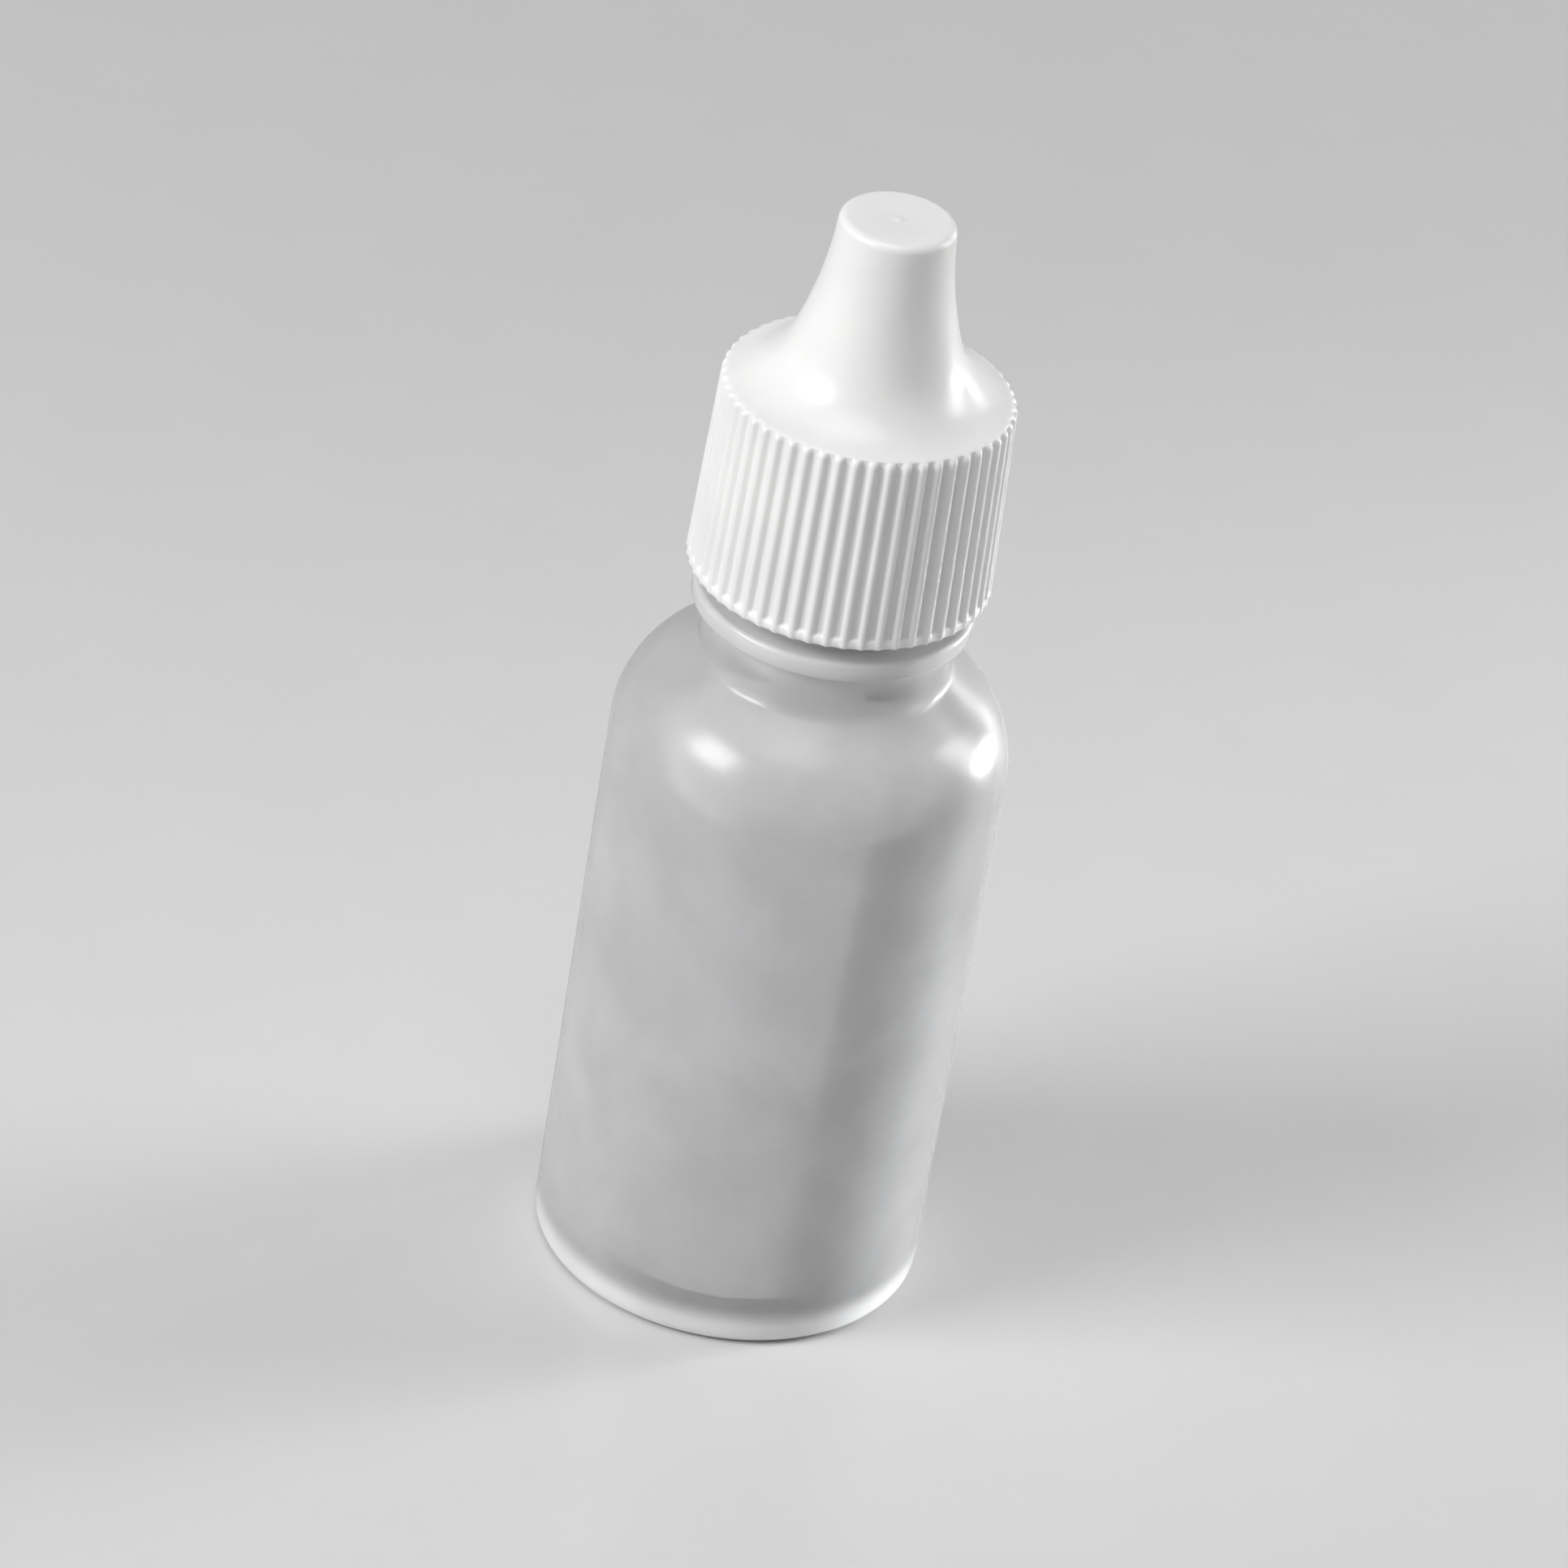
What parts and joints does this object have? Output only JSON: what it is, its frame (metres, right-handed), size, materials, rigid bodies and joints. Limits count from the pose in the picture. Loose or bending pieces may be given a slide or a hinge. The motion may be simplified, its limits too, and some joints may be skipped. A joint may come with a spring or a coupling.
{
  "type": "eye drop bottle",
  "caption": "Small squeeze bottle with a round shoulder, a plug-in dropper tip and a ribbed screw cap whose hollow spout covers the nozzle.",
  "frame": {"origin": "middle of the foot, on the surface that the bottle stands on", "axes": "+Z is the bottle's axis, up towards the end of the cap's spout; the object is round, so +X and +Y are alike"},
  "size_m": [0.023, 0.023, 0.0696],
  "materials": {
    "bottle_wall": "satin translucent low-density polyethylene, milky and undyed",
    "tip_plastic": "satin undyed low-density polyethylene",
    "cap_plastic": "semi-gloss white polypropylene"
  },
  "bodies": {
    "bottle": {"bottle": "bottle_wall"},
    "dropper_tip": {"dropper_tip": "tip_plastic"},
    "cap": {"cap": "cap_plastic"}
  },
  "joints": [
    {"name": "cap_turn", "type": "hinge", "parent": "bottle", "child": "dropper_tip", "pos_m": [0, 0, 0.0556], "axis": [0, 0, 1], "range_deg": [0, 3780]},
    {"name": "cap_rise", "type": "slide", "parent": "dropper_tip", "child": "cap", "axis": [0, 0, 1], "range_m": [0, 0.02223]}
  ],
  "couplings": [
    {"joint": "cap_turn", "follows": "cap_rise", "rad_per_m": 2968.4}
  ]
}
